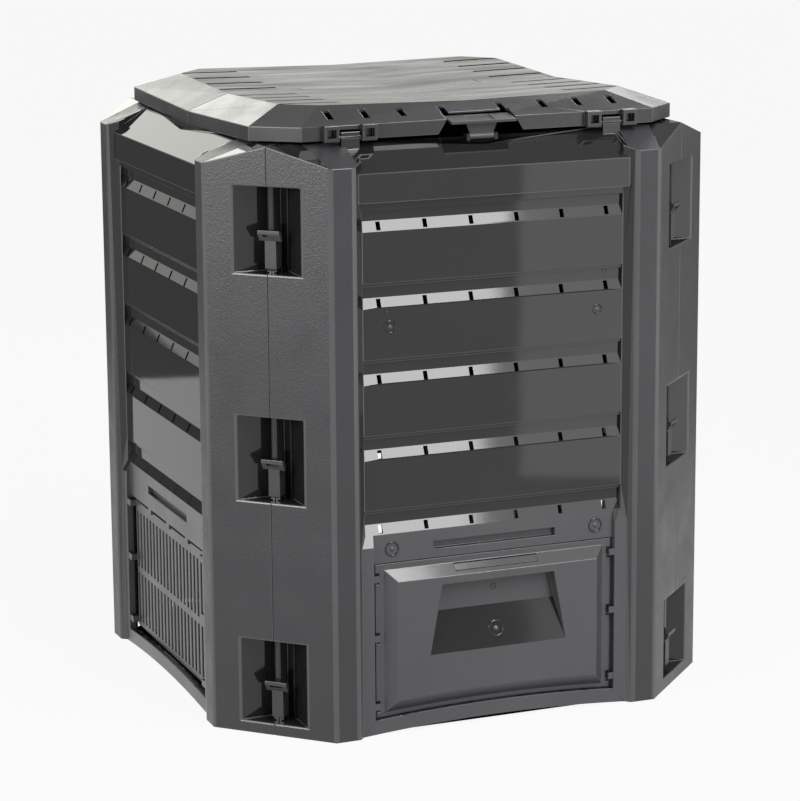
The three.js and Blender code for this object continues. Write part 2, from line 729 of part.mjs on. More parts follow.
// A loop that hangs over one end of a hinge pin; inward is the side of the tongue
function hingeLoop(centre, inward) {
  const near = centre - inward * loopGap;
  const far = near - inward * loopWidth;
  const [x0, x1] = [near, far].sort((a, b) => a - b);
  const front = -hingeY - loopFront;
  const body = box(x0, x1, front, -lidHalf + sheet / 2, hingeZ - loopFoot, hingeZ + loopHead);
  const slack = pinRadius + pinPlay;
  const [n0, n1] = [near + inward * overrun / 2, near - inward * (loopWall + fitGap)].sort((a, b) => a - b);
  return cut(body, [
    box(x0 + loopWall, x1 - loopWall, front + loopWall, -lidHalf, hingeZ - overrun,
      hingeZ + loopHead - loopWall),
    box(n0, n1, -hingeY - slack, -hingeY + slack, hingeZ - overrun, hingeZ + slack),
    box((x0 + x1) / 2 - loopWindowHalf, (x0 + x1) / 2 + loopWindowHalf, front - overrun,
      front + overrun / 4, hingeZ, hingeZ + loopWindowHeight),
  ]);
}

function latchNotch() {
  const front = [
    [-latchCutFoot, lidFootZ - overrun], [latchCutFoot, lidFootZ - overrun],
    [latchCutFoot, lidFootZ], [latchCutTop, lidEdgeZ], [latchCutTop, lidTopZ + overrun],
    [-latchCutTop, lidTopZ + overrun], [-latchCutTop, lidEdgeZ], [-latchCutFoot, lidFootZ],
  ];
  return extrudeInward(front, -lidHalf - overrun, -lidHalf + latchCutDepth);
}

function lidHalfBody(steps) {
  const shell = lidBlock(0, 0, 0).subtract(lidBlock(sheet, sheet, overrun));
  const region = extrudeUp(foldPlan(steps), lidFootZ - 2 * overrun, lidTopZ + overrun);
  const skirtCuts = [-1, 1].map((side) => box(side * hingeX - loopGap, side * hingeX + loopGap,
    -lidHalf - overrun, -lidHalf + 2 * sheet, lidFootZ - overrun, hingeZ + skirtCutTop));
  const ventXs = bevelVentShares.flatMap((share) => [-share * lidHalf, share * lidHalf]);
  const bevelVents = ventXs.map((x) => box(
    x - bevelVentWidth / 2, x + bevelVentWidth / 2, -lidHalf + bevelVentLow,
    -lidHalf + bevelVentLow + bevelVentLength, lidEdgeZ - sheet, lidTopZ + overrun));
  const slots = lidSlotShares.flatMap((share) => [-lidSlotX, lidSlotX].map((x) => {
    const y = share * plateauHalf;
    const level = lidTopZ - lidDip * (1 - share) - lidDish * (1 - lidSlotX / plateauHalf);
    return box(x - lidSlotHalf, x + lidSlotHalf, -y - lidSlotWidth / 2, -y + lidSlotWidth / 2,
      level - lidSlotDepth, level + overrun);
  }));
  const half = cut(shell.intersect(region), [...skirtCuts, latchNotch(), ...bevelVents, ...slots]);
  const loops = [-1, 1].flatMap((side) => [
    hingeLoop(side * hingeX, -1), hingeLoop(side * hingeX, 1),
  ]);
  return join([half, ...loops]);
}

// Spring clip of a corner seam, drawn at the front and turned to its corner
function clip() {
  const front = -cornerFace + flangeSetBack - fitGap;
  const web = box(-clipHalf, clipHalf, front - clipWeb, front, 0, clipHeight);
  const inner = flangeThick + seamGap / 2 + fitGap;
  const cheeks = [-1, 1].map((side) => {
    const [x0, x1] = [side * inner, side * clipHalf].sort((a, b) => a - b);
    return box(x0, x1, front - fitGap, front + clipReach, 0, clipHeight);
  });
  const headFoot = clipHeight - clipHeadThick;
  const headProfile = [
    [front, headFoot], [front - clipWeb, headFoot],
    [front - clipWeb - clipHeadLean, headFoot + clipHeadHeight],
    [front - clipWeb - clipHeadLean, headFoot + clipHeadHeight + clipHeadThick],
    [front - clipHeadLean, headFoot + clipHeadHeight + clipHeadThick],
    [front, headFoot + 2 * clipHeadThick],
  ];
  const head = extrudeAlong(headProfile, -clipHeadHalf, clipHeadHalf);
  const slotFoot = headFoot + clipHeadThick + clipSlotHeight / 2;
  const slot = box(-clipSlotHalf, clipSlotHalf, front - clipWeb - clipHeadLean, front - clipWeb / 2,
    slotFoot, slotFoot + clipSlotHeight);
  return join([web, ...cheeks, head]).subtract(slot);
}

// Lid latch: barrel on the rim's ears, stem and a wide plate in the lid's notch
function latch() {
  const earTop = latchZ + latchBarrel + latchClearance;
  const plateFoot = latchZ + latchPlateZ - latchPlateThick / 2;
  const stem = [
    [-latchStemFoot, latchZ], [latchStemFoot, latchZ], [latchStemFoot, earTop],
    [latchStemTop, plateFoot], [-latchStemTop, plateFoot], [-latchStemFoot, earTop],
  ];
  const front = [-latchY - latchPlateFront, latchZ + latchPlateZ];
  const rear = [-latchY + latchPlateBack, front[1] + latchPlateLean];
  const plate = extrudeAlong(sheetOutline([front, rear], -latchPlateThick), -latchPlateHalf, latchPlateHalf);
  const gripRise = latchPlateLean / (latchPlateFront + latchPlateBack);
  const gripFront = [front[0] + latchGripRim, front[1] + latchGripRim * gripRise];
  const gripRear = [rear[0] - latchGripRim, rear[1] - latchGripRim * gripRise];
  const gripPath = [gripFront, gripRear];
  const grip = extrudeAlong(
    [...offsetPath(gripPath, overrun), ...offsetPath(gripPath, -latchGripDepth).reverse()],
    -latchGripHalf, latchGripHalf);
  const body = join([
    extrudeInward(stem, -latchY - latchStemThick / 2, -latchY + latchStemThick / 2),
    pin(-latchStemFoot, latchStemFoot, -latchY, latchZ, latchBarrel), plate,
  ]);
  const holes = [-1, 1].map((side) => {
    const [x0, x1] = [side * (latchStemFoot - latchPinLength), side * (latchStemFoot + overrun)]
      .sort((a, b) => a - b);
    return pin(x0, x1, -latchY, latchZ, latchPin + pinPlay);
  });
  return cut(body, [grip, ...holes]);
}

// Wraps a solid in a named mesh
function makeMesh(name, solid, finish) {
  const data = solid.getMesh();
  const geometry = new THREE.BufferGeometry();
  geometry.setAttribute('position', new THREE.Float32BufferAttribute(data.vertProperties, 3));
  geometry.setIndex(Array.from(data.triVerts));
  geometry.computeVertexNormals();
  const mesh = new THREE.Mesh(geometry, new THREE.MeshStandardMaterial(finish));
  mesh.name = name;
  return mesh;
}

const bin = new THREE.Group();

const sideWall = wall(false, false);
const walls = [
  { name: 'wall_front', solid: wall(true, true), turn: 0 },
  { name: 'wall_right', solid: sideWall, turn: Math.PI / 2 },
  { name: 'wall_back', solid: wall(false, true), turn: Math.PI },
  { name: 'wall_left', solid: sideWall, turn: -Math.PI / 2 },
];
for (const { name, solid, turn } of walls) {
  const mesh = makeMesh(name, solid, darkPlastic);
  mesh.rotation.z = turn;
  bin.add(mesh);
}

bin.add(makeMesh('hatch_door', hatchDoor(), darkPlastic));
bin.add(makeMesh('lid_front', lidHalfBody([0, earReach, -tabDepth]), darkPlastic));
const lidBack = makeMesh('lid_back', lidHalfBody([0, -earReach, tabDepth]), darkPlastic);
lidBack.rotation.z = Math.PI;
bin.add(lidBack);

for (const [name, turn] of [['latch_front', 0], ['latch_back', Math.PI]]) {
  const mesh = makeMesh(name, latch(), darkPlastic);
  mesh.rotation.z = turn;
  bin.add(mesh);
}

const corners = [
  { name: 'front_left', turn: -Math.PI / 4 }, { name: 'front_right', turn: Math.PI / 4 },
  { name: 'back_right', turn: 3 * Math.PI / 4 }, { name: 'back_left', turn: -3 * Math.PI / 4 },
];
const levels = ['lower', 'middle', 'upper'];
for (const corner of corners) {
  pocketBases.forEach((base, i) => {
    const mesh = makeMesh(`clip_${corner.name}_${levels[i]}`, clip(), clipPlastic);
    mesh.rotation.z = corner.turn;
    mesh.position.z = base + clipLift;
    bin.add(mesh);
  });
}

export default bin;
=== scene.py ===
import json
import math
import bmesh
import bpy
from mathutils import Matrix, Vector


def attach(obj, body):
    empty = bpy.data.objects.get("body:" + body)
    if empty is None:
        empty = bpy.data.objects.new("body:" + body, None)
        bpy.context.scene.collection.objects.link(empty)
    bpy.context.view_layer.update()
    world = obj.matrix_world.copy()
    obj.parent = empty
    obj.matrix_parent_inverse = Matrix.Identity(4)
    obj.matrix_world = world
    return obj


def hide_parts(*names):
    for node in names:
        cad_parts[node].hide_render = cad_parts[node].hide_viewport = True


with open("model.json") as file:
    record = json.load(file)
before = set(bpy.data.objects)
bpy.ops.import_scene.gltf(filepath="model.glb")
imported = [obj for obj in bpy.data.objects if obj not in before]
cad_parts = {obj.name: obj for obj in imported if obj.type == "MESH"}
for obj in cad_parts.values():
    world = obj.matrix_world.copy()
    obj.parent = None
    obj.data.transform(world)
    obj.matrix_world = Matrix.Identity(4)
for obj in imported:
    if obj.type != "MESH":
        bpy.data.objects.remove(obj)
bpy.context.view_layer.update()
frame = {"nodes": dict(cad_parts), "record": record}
bodies = frame["record"]["behaviour"]["bodies"]
bodyOf = {node: body for body, nodes in bodies.items() for node in nodes}
print("frame loaded:", len(frame["nodes"]), "nodes")

scene = bpy.context.scene
scene.view_settings.view_transform = "Standard"

# plastics: grained outside faces, smooth panels, satin lid, hatch, painted shade for the lid
# slots, clips, and a lighter finish on the rounded edges as a painted highlight
plastics = {
    "grained": {"colour": (0.02, 0.0196, 0.0217), "roughness": 0.38, "sheen": 0.5,
                "grain": 620, "grainDepth": 0.00035, "wave": 7, "waveDepth": 0.0006},
    "smooth": {"colour": (0.0085, 0.0085, 0.0088), "roughness": 0.05, "sheen": 0.5,
               "grain": 1800, "grainDepth": 0.000003, "wave": 9, "waveDepth": 0.00012},
    "satin": {"colour": (0.019, 0.019, 0.0195), "roughness": 0.24, "sheen": 0.5,
              "grain": 1400, "grainDepth": 0.00001, "wave": 11, "waveDepth": 0.0006},
    "hatch": {"colour": (0.044, 0.0435, 0.0475), "roughness": 0.3, "sheen": 0.5,
              "grain": 1400, "grainDepth": 0.00003, "wave": 11, "waveDepth": 0.0006},
    "hatchGloss": {"colour": (0.012, 0.012, 0.0125), "roughness": 0.09, "sheen": 0.5,
                   "grain": 1400, "grainDepth": 0.000004, "wave": 12, "waveDepth": 0.0003},
    "lidTop": {"colour": (0.034, 0.034, 0.032), "roughness": 0.27, "sheen": 0.5,
               "grain": 1300, "grainDepth": 0.00003, "wave": 6, "waveDepth": 0.001,
               "stretch": (0.35, 2.2, 1), "vary": 0.4},
    # painted shade in the lid slots: dark, with no reflection at any angle
    "slotShade": {"colour": (0.008, 0.008, 0.008), "roughness": 0.6, "sheen": 0,
                  "grain": 1300, "grainDepth": 0.00003, "wave": 9, "waveDepth": 0.0002},
    "clip": {"colour": (0.024, 0.024, 0.026), "roughness": 0.36, "sheen": 0.5,
             "grain": 900, "grainDepth": 0.00008, "wave": 20, "waveDepth": 0.0002},
    # painted highlight: a lighter finish on every rounded edge, and on some moulding beads
    "edgeHighlight": {"colour": (0.045, 0.0445, 0.047), "roughness": 0.27, "sheen": 0.55,
                 "grain": 900, "grainDepth": 0.00002, "wave": 20, "waveDepth": 0.0002},
}
# what all the plastics share; drift and polish are a noise's scale and detail
sharedLook = {
    "vary": 0.2, "stretch": (1, 1, 1), "refraction": 1.49,
    "drift": (5.5, 3), "polish": (17, 5), "polishSpan": (0.3, 0.7),
    "fineRatio": 0.4, "fineDetail": 4, "pitShare": 0.6, "grainStrength": 0.8,
    "waveDetail": 1.5, "waveStrength": 1,
}


def addNoise(nodes, scale, detail):
    noise = nodes.new("ShaderNodeTexNoise")
    noise.inputs["Scale"].default_value = scale
    noise.inputs["Detail"].default_value = detail
    return noise


def addBump(nodes, strength, depth):
    bump = nodes.new("ShaderNodeBump")
    bump.inputs["Strength"].default_value = strength
    bump.inputs["Distance"].default_value = depth
    return bump


def mouldedPlastic(name, look):
    material = bpy.data.materials.new(name)
    material.use_nodes = True
    nodes, join = material.node_tree.nodes, material.node_tree.links.new
    shader = nodes["Principled BSDF"]
    vary = look.get("vary", sharedLook["vary"])
    place = nodes.new("ShaderNodeTexCoord")

    # slow drift of the regrind colour over the moulding
    drift = addNoise(nodes, *sharedLook["drift"])
    tint = nodes.new("ShaderNodeMix")
    tint.data_type = "RGBA"
    tint.inputs["A"].default_value = (*[c * (1 - vary) for c in look["colour"]], 1)
    tint.inputs["B"].default_value = (*[c * (1 + vary) for c in look["colour"]], 1)

    # gloss varies with the mould's polish and handling
    polish = addNoise(nodes, *sharedLook["polish"])
    gloss = nodes.new("ShaderNodeMapRange")
    dullest, brightest = sharedLook["polishSpan"]
    gloss.inputs["From Min"].default_value = dullest
    gloss.inputs["From Max"].default_value = brightest
    gloss.inputs["To Min"].default_value = look["roughness"] * (1 - vary)
    gloss.inputs["To Max"].default_value = look["roughness"] * (1 + vary)

    # etched grain, over the slow waviness of a thin cooled wall
    pits = nodes.new("ShaderNodeTexVoronoi")
    pits.inputs["Scale"].default_value = look["grain"]
    fine = addNoise(nodes, look["grain"] * sharedLook["fineRatio"], sharedLook["fineDetail"])
    grain = nodes.new("ShaderNodeMath")
    grain.operation = "MULTIPLY_ADD"
    grain.inputs[1].default_value = sharedLook["pitShare"]
    relief = addBump(nodes, sharedLook["grainStrength"], look["grainDepth"])
    wave = addNoise(nodes, look["wave"], sharedLook["waveDetail"])
    sink = addBump(nodes, sharedLook["waveStrength"], look["waveDepth"])

    # flow streaks where the sheet was drawn one way
    drawn = nodes.new("ShaderNodeMapping")
    drawn.inputs["Scale"].default_value = look.get("stretch", sharedLook["stretch"])

    join(place.outputs["Object"], drawn.inputs["Vector"])
    for texture in (drift, polish, wave):
        join(drawn.outputs["Vector"], texture.inputs["Vector"])
    for texture in (pits, fine):
        join(place.outputs["Object"], texture.inputs["Vector"])
    join(drift.outputs["Fac"], tint.inputs["Factor"])
    join(tint.outputs["Result"], shader.inputs["Base Color"])
    join(polish.outputs["Fac"], gloss.inputs["Value"])
    join(gloss.outputs["Result"], shader.inputs["Roughness"])
    join(pits.outputs["Distance"], grain.inputs[0])
    join(fine.outputs["Fac"], grain.inputs[2])
    join(grain.outputs["Value"], relief.inputs["Height"])
    join(wave.outputs["Fac"], sink.inputs["Height"])
    join(sink.outputs["Normal"], relief.inputs["Normal"])
    join(relief.outputs["Normal"], shader.inputs["Normal"])
    shader.inputs["IOR"].default_value = sharedLook["refraction"]
    shader.inputs["Specular IOR Level"].default_value = look["sheen"]
    return material


finish = {name: mouldedPlastic(name + "Plastic", look) for name, look in plastics.items()}
print("plastics ready")

# edge roundings in metres, the shortest edges they go on, and the least angle in degrees
edges = {"main": 0.004, "mouth": 0.0022, "fine": 0.0009, "tiny": 0.0004,
         "shortest": 0.016, "shortTiny": 0.003, "crease": 24, "segments": 2}
# how a copy of a solid is cleaned; the wide shoulders stay whole, so that they shade evenly
cleaning = {"weld": 0.00002, "flat": 0.4, "mostCorners": 4,
            "shoulderLean": (0.8, 0.9), "shoulderArea": 0.01}


def isShoulder(face):
    low, high = cleaning["shoulderLean"]
    return low < face.normal.z < high and face.calc_area() > cleaning["shoulderArea"]


def cleanCopy(node):
    mesh = frame["nodes"][node].data.copy()
    mesh.materials.clear()
    form = bmesh.new()
    form.from_mesh(mesh)
    bmesh.ops.remove_doubles(form, verts=form.verts, dist=cleaning["weld"])
    bmesh.ops.dissolve_limit(form, angle_limit=math.radians(cleaning["flat"]),
                             verts=form.verts, edges=form.edges)
    manySided = [face for face in form.faces
                 if len(face.verts) > cleaning["mostCorners"] and not isShoulder(face)]
    bmesh.ops.triangulate(form, faces=manySided)
    return mesh, form


# special says how wide one edge is rounded, 0 for a sharp one, or None for the width in other
def softenEdges(form, other, shortest, special=lambda edge: None):
    layer = form.edges.layers.float.new("bevel_weight_edge")
    for edge in form.edges:
        if len(edge.link_faces) != 2 or edge.calc_length() < shortest:
            continue
        if edge.calc_face_angle(0) < math.radians(edges["crease"]):
            continue
        width = special(edge)
        edge[layer] = (other if width is None else width) / edges["main"]


def finishPiece(node, mesh, form):
    name = "dressed_" + node
    form.to_mesh(mesh)
    form.free()
    mesh.name = name
    raw = bpy.data.objects.new(name + "_raw", mesh)
    scene.collection.objects.link(raw)
    bevel = raw.modifiers.new("edge", "BEVEL")
    bevel.width = edges["main"]
    bevel.segments = edges["segments"]
    bevel.limit_method = "WEIGHT"
    bevel.use_clamp_overlap = False
    bevel.loop_slide = False
    bevel.material = len(mesh.materials)  # the last slot, for the painted highlight on the rounded edges
    mesh.materials.append(finish["edgeHighlight"])
    rounded = raw.evaluated_get(bpy.context.evaluated_depsgraph_get())
    made = bpy.data.meshes.new_from_object(rounded)
    made.name = name
    for polygon in made.polygons:
        polygon.use_smooth = False
    bpy.data.objects.remove(raw)
    piece = bpy.data.objects.new(name, made)
    scene.collection.objects.link(piece)
    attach(piece, bodyOf[node])
    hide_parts(node)


# walls: each is turned to the front, and measured there
wallPlan = {
    "turns": {"wall_front": 0, "wall_right": math.pi / 2,
              "wall_back": math.pi, "wall_left": -math.pi / 2},
    "half": 0.3595, "faceDepth": 0.0035,  # outside face, and how far behind it the panel starts
    "panelReach": 0.1996,  # the panel's half width
    "lowerFrame": 0.2895,  # top of the frame round the hatch or vent plate
    "cornerFace": 0.41847, "pocketReach": 0.0497, "mouthSide": 0.04,
    "firstMouth": 0.01, "lastMouth": 0.735,  # lowest and highest edges of the pocket mouths
    "upright": 0.2, "tall": 0.2, "near": 0.001,
}


def cornerPlace(point):
    # depth behind the flat corner face, and distance from its middle
    depth = wallPlan["cornerFace"] - (abs(point.x) + abs(point.y)) / math.sqrt(2)
    return depth, abs(abs(point.x) - abs(point.y)) / math.sqrt(2)


def wallFinish(centre, lean):
    # 0 grained outside, 1 smooth boards, and the pocket linings in the same dark finish as a
    # painted shade, 2 frame of the hatch or vent plate
    behindFace = centre.y + wallPlan["half"]
    inPanel = abs(centre.x) < wallPlan["panelReach"] and behindFace > wallPlan["faceDepth"]
    behindCorner, alongCorner = cornerPlace(centre)
    # the pocket linings take the dark smooth finish: a painted shade in the recesses
    pocketShade = behindCorner > wallPlan["faceDepth"] and alongCorner < wallPlan["pocketReach"]
    if inPanel and centre.z < wallPlan["lowerFrame"] and lean < wallPlan["upright"]:
        return 2
    return 1 if inPanel or pocketShade else 0


def wallRounding(a, b):
    near = wallPlan["near"]
    # the tall column arrises are rounder
    upright = (a - b).xy.length < near and abs(a.z - b.z) > wallPlan["tall"]
    if upright and min(a.y, b.y) < -wallPlan["half"] + near:
        return edges["main"]
    # and so are the mouths of the pockets
    (sunkA, alongA), (sunkB, alongB) = cornerPlace(a), cornerPlace(b)
    onCorner = max(abs(sunkA), abs(sunkB)) < near
    onMouth = onCorner and max(alongA, alongB) < wallPlan["pocketReach"]
    if onMouth and wallPlan["firstMouth"] < a.z < wallPlan["lastMouth"]:
        if min(alongA, alongB) > wallPlan["mouthSide"] or abs(a.z - b.z) < near:
            return edges["mouth"]
    return None


def dressWall(node, turn):
    mesh, form = cleanCopy(node)
    toFront = Matrix.Rotation(-turn, 4, "Z")
    for look in ("grained", "smooth", "hatch"):
        mesh.materials.append(finish[look])
    for face in form.faces:
        face.material_index = wallFinish(toFront @ face.calc_center_median(), abs(face.normal.z))
    softenEdges(form, edges["fine"], edges["shortest"],
                lambda edge: wallRounding(*[toFront @ vert.co for vert in edge.verts]))
    finishPiece(node, mesh, form)


for node, turn in wallPlan["turns"].items():
    dressWall(node, turn)
print("walls dressed")

# lid: satin rim, streaked top, and a row of slots along either side, painted dark and without
# reflection as a painted shade
lidPlan = {"flat": 0.98, "slotX": 0.202, "slotHalf": 0.0422, "slotWidth": 0.0052,
           "slotRows": (0.0401, 0.095, 0.1501, 0.2049)}


def inSlot(point, row):
    acrossSlot = abs(abs(point.y) - row) < lidPlan["slotWidth"]
    return acrossSlot and abs(abs(point.x) - lidPlan["slotX"]) < lidPlan["slotHalf"]


def isSlot(part):
    return any(all(inSlot(vert.co, row) for vert in part.verts) for row in lidPlan["slotRows"])


def dressLid(node):
    mesh, form = cleanCopy(node)
    for look in ("satin", "lidTop", "slotShade"):
        mesh.materials.append(finish[look])
    for face in form.faces:
        onTop = face.normal.z > lidPlan["flat"]
        # slot faces take the slot finish, a painted shade
        face.material_index = 2 if isSlot(face) else 1 if onTop else 0
    softenEdges(form, edges["fine"], edges["shortest"],
                lambda edge: 0 if isSlot(edge) else None)
    finishPiece(node, mesh, form)


# hatch and fittings: the hatch's second finish goes on faces that look up more than glossLean
loosePlan = {
    "hatch": {"finish": ("hatch", "hatchGloss"), "glossLean": 0.2, "edge": "fine"},
    "latch": {"finish": ("clip",), "edge": "tiny"},
    "clip": {"finish": ("clip",), "edge": "tiny"},
}


def dressLoosePart(node, plan):
    mesh, form = cleanCopy(node)
    for look in plan["finish"]:
        mesh.materials.append(finish[look])
    glossLean = plan.get("glossLean", math.inf)
    for face in form.faces:
        face.material_index = 1 if face.normal.z > glossLean else 0
    softenEdges(form, edges[plan["edge"]], edges["shortTiny"])
    finishPiece(node, mesh, form)


for node in frame["nodes"]:
    kind = node.split("_")[0]
    if kind == "lid":
        dressLid(node)
    elif kind in loosePlan:
        dressLoosePart(node, loosePlan[kind])
print("lid, hatch and fittings dressed")

# moulding marks: a low ring round a bead, where the plastic was fed in
front, scoopFace = (0, -1, 0), (0, -0.961, 0.278)
gateMarks = {
    "sizes": {"Ring radius": 0.0078, "Ring bead": 0.0011,
              "Bead radius": 0.003, "Bead height": 0.0018},
    "steps": {"ring": 32, "ringBead": 6, "beadRound": 12, "beadUp": 8},
    # each mark is its place, the way it faces and its scale
    "groups": {
        # the bin and hatch beads take the lighter edge finish, a painted highlight
        "bin": {
            "body": "bin", "slot": "shell", "finish": "edgeHighlight", "ring": "smooth",
            "at": [((-0.1471, -0.3449, 0.5471), front, 1.0),
                   ((0.1481, -0.3449, 0.5478), front, 0.8),
                   ((-0.151, -0.3448, 0.5671), front, 0.4),
                   ((0.1607, -0.339, 0.5983), front, 0.4)]},
        "bin_frame": {
            "body": "bin", "slot": "shell", "finish": "hatch", "ring": "hatchGloss",
            "at": [((-0.1466, -0.345, 0.2514), front, 1.15),
                   ((0.1476, -0.345, 0.2523), front, 1.15)]},
        "hatch": {
            "body": "hatch", "slot": "hatch", "finish": "edgeHighlight", "ring": "hatchGloss",
            "at": [((-0.0011, -0.3521, 0.1281), scoopFace, 1.3),
                   ((-0.0014, -0.343, 0.1838), front, 0.5)]},
    },
}


def addRing(tree, given):
    add, join = tree.nodes.new, tree.links.new
    ring = add("GeometryNodeCurvePrimitiveCircle")
    ring.inputs["Resolution"].default_value = gateMarks["steps"]["ring"]
    join(given.outputs["Ring radius"], ring.inputs["Radius"])
    bead = add("GeometryNodeCurvePrimitiveCircle")
    bead.inputs["Resolution"].default_value = gateMarks["steps"]["ringBead"]
    join(given.outputs["Ring bead"], bead.inputs["Radius"])
    rim = add("GeometryNodeCurveToMesh")
    join(ring.outputs["Curve"], rim.inputs["Curve"])
    join(bead.outputs["Curve"], rim.inputs["Profile Curve"])
    # the ring's faces are remembered, so that they can be painted last
    ringFaces = add("GeometryNodeCaptureAttribute")
    ringFaces.domain = "FACE"
    ringFaces.capture_items.new("BOOLEAN", "On ring")
    ringFaces.inputs["On ring"].default_value = True
    join(rim.outputs["Mesh"], ringFaces.inputs["Geometry"])
    return ringFaces


def addBead(tree, given):
    add, join = tree.nodes.new, tree.links.new
    ball = add("GeometryNodeMeshUVSphere")
    ball.inputs["Segments"].default_value = gateMarks["steps"]["beadRound"]
    ball.inputs["Rings"].default_value = gateMarks["steps"]["beadUp"]
    join(given.outputs["Bead radius"], ball.inputs["Radius"])
    ratio = add("ShaderNodeMath")
    ratio.operation = "DIVIDE"
    join(given.outputs["Bead height"], ratio.inputs[0])
    join(given.outputs["Bead radius"], ratio.inputs[1])
    height = add("ShaderNodeCombineXYZ")
    height.inputs["X"].default_value = height.inputs["Y"].default_value = 1
    join(ratio.outputs["Value"], height.inputs["Z"])
    squash = add("GeometryNodeTransform")
    join(ball.outputs["Mesh"], squash.inputs["Geometry"])
    join(height.outputs["Vector"], squash.inputs["Scale"])
    return squash


def addAttribute(tree, kind, name):
    attribute = tree.nodes.new("GeometryNodeInputNamedAttribute")
    attribute.data_type = kind
    attribute.inputs["Name"].default_value = name
    return attribute


def markTree():
    tree = bpy.data.node_groups.new("mouldMarks", "GeometryNodeTree")
    kinds = {"Spots": "Geometry", **dict.fromkeys(gateMarks["sizes"], "Float"),
             "Finish": "Material", "Ring finish": "Material"}
    sockets = {label: tree.interface.new_socket(name=label, in_out="INPUT",
                                                socket_type="NodeSocket" + kind)
               for label, kind in kinds.items()}
    for label, value in gateMarks["sizes"].items():
        sockets[label].default_value = value
    tree.interface.new_socket(name="Marks", in_out="OUTPUT", socket_type="NodeSocketGeometry")

    add, join = tree.nodes.new, tree.links.new
    given, result = add("NodeGroupInput"), add("NodeGroupOutput")
    ringFaces = addRing(tree, given)
    bead = addBead(tree, given)
    mark = add("GeometryNodeJoinGeometry")
    join(ringFaces.outputs["Geometry"], mark.inputs["Geometry"])
    join(bead.outputs["Geometry"], mark.inputs["Geometry"])

    # one mark on each spot, turned to its facing
    facing = addAttribute(tree, "FLOAT_VECTOR", "facing")
    size = addAttribute(tree, "FLOAT", "size")
    turn = add("FunctionNodeAlignRotationToVector")
    turn.axis = "Z"
    join(facing.outputs["Attribute"], turn.inputs["Vector"])
    spread = add("GeometryNodeInstanceOnPoints")
    join(given.outputs["Spots"], spread.inputs["Points"])
    join(mark.outputs["Geometry"], spread.inputs["Instance"])
    join(turn.outputs["Rotation"], spread.inputs["Rotation"])
    join(size.outputs["Attribute"], spread.inputs["Scale"])

    smooth, solid = add("GeometryNodeSetShadeSmooth"), add("GeometryNodeRealizeInstances")
    beadPaint, ringPaint = add("GeometryNodeSetMaterial"), add("GeometryNodeSetMaterial")
    join(given.outputs["Finish"], beadPaint.inputs["Material"])
    join(given.outputs["Ring finish"], ringPaint.inputs["Material"])
    join(ringFaces.outputs["On ring"], ringPaint.inputs["Selection"])
    join(spread.outputs["Instances"], smooth.inputs["Geometry"])
    join(smooth.outputs["Geometry"], solid.inputs["Geometry"])
    join(solid.outputs["Geometry"], beadPaint.inputs["Geometry"])
    join(beadPaint.outputs["Geometry"], ringPaint.inputs["Geometry"])
    join(ringPaint.outputs["Geometry"], result.inputs["Marks"])
    return tree, sockets


def makeMarks(name, marks, tree, sockets):
    mesh = bpy.data.meshes.new("spots")
    mesh.from_pydata([place for place, towards, scale in marks["at"]], [], [])
    mesh.attributes.new("facing", "FLOAT_VECTOR", "POINT")
    mesh.attributes.new("size", "FLOAT", "POINT")
    for i, (place, towards, scale) in enumerate(marks["at"]):
        mesh.attributes["facing"].data[i].vector = towards
        mesh.attributes["size"].data[i].value = scale
    spots = bpy.data.objects.new("spots", mesh)
    scene.collection.objects.link(spots)
    modifier = spots.modifiers.new("marks", "NODES")
    modifier.node_group = tree
    for label, value in gateMarks["sizes"].items():
        modifier[sockets[label].identifier] = value
    modifier[sockets["Finish"].identifier] = finish[marks["finish"]]
    modifier[sockets["Ring finish"].identifier] = finish[marks["ring"]]
    grown = spots.evaluated_get(bpy.context.evaluated_depsgraph_get())
    made = bpy.data.meshes.new_from_object(grown)
    bpy.data.objects.remove(spots)
    piece = bpy.data.objects.new("gate_marks_" + name, made)
    made.name = piece.name
    scene.collection.objects.link(piece)
    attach(piece, marks["body"])


marksTree, marksSockets = markTree()
for name, marks in gateMarks["groups"].items():
    makeMarks(name, marks, marksTree, marksSockets)
print("moulding marks added")

# studio: pale floor that glows evenly, except under the bin
studio = {"floorSize": 60, "floorTone": 0.02, "floorGlow": 0.925, "floorRoughness": 0.9,
          "underBin": (0.338, 0.226), "world": 0.36, "warmTint": (1, 1, 0.93)}


def floorMaterial(name, glow):
    material = bpy.data.materials.new(name)
    material.use_nodes = True
    shader = material.node_tree.nodes["Principled BSDF"]
    shader.inputs["Base Color"].default_value = (studio["floorTone"],) * 3 + (1,)
    shader.inputs["Roughness"].default_value = studio["floorRoughness"]
    shader.inputs["Specular IOR Level"].default_value = 0
    shader.inputs["Emission Color"].default_value = (1, 1, 1, 1)
    shader.inputs["Emission Strength"].default_value = glow
    return material


def makeFloor():
    mesh = bpy.data.meshes.new("floor")
    far = studio["floorSize"] / 2
    side, tip = studio["underBin"]
    outer = [(-far, -far, 0), (far, -far, 0), (far, far, 0), (-far, far, 0)]
    inner = [(-tip, -side, 0), (tip, -side, 0), (side, -tip, 0), (side, tip, 0),
             (tip, side, 0), (-tip, side, 0), (-side, tip, 0), (-side, -tip, 0)]
    # the glowing floor goes round the eight-sided patch under the bin, which comes last
    sides = [(0, 1, 5, 4), (1, 2, 7, 6), (2, 3, 9, 8), (3, 0, 11, 10)]
    tips = [(1, 6, 5), (2, 8, 7), (3, 10, 9), (0, 4, 11)]
    patch = tuple(range(len(outer), len(outer + inner)))
    mesh.from_pydata(outer + inner, [], sides + tips + [patch])
    mesh.materials.append(floorMaterial("paleFloor", studio["floorGlow"]))
    mesh.materials.append(floorMaterial("shadedFloor", 0))
    mesh.polygons[len(sides + tips)].material_index = 1
    floor = bpy.data.objects.new("floor", mesh)
    scene.collection.objects.link(floor)


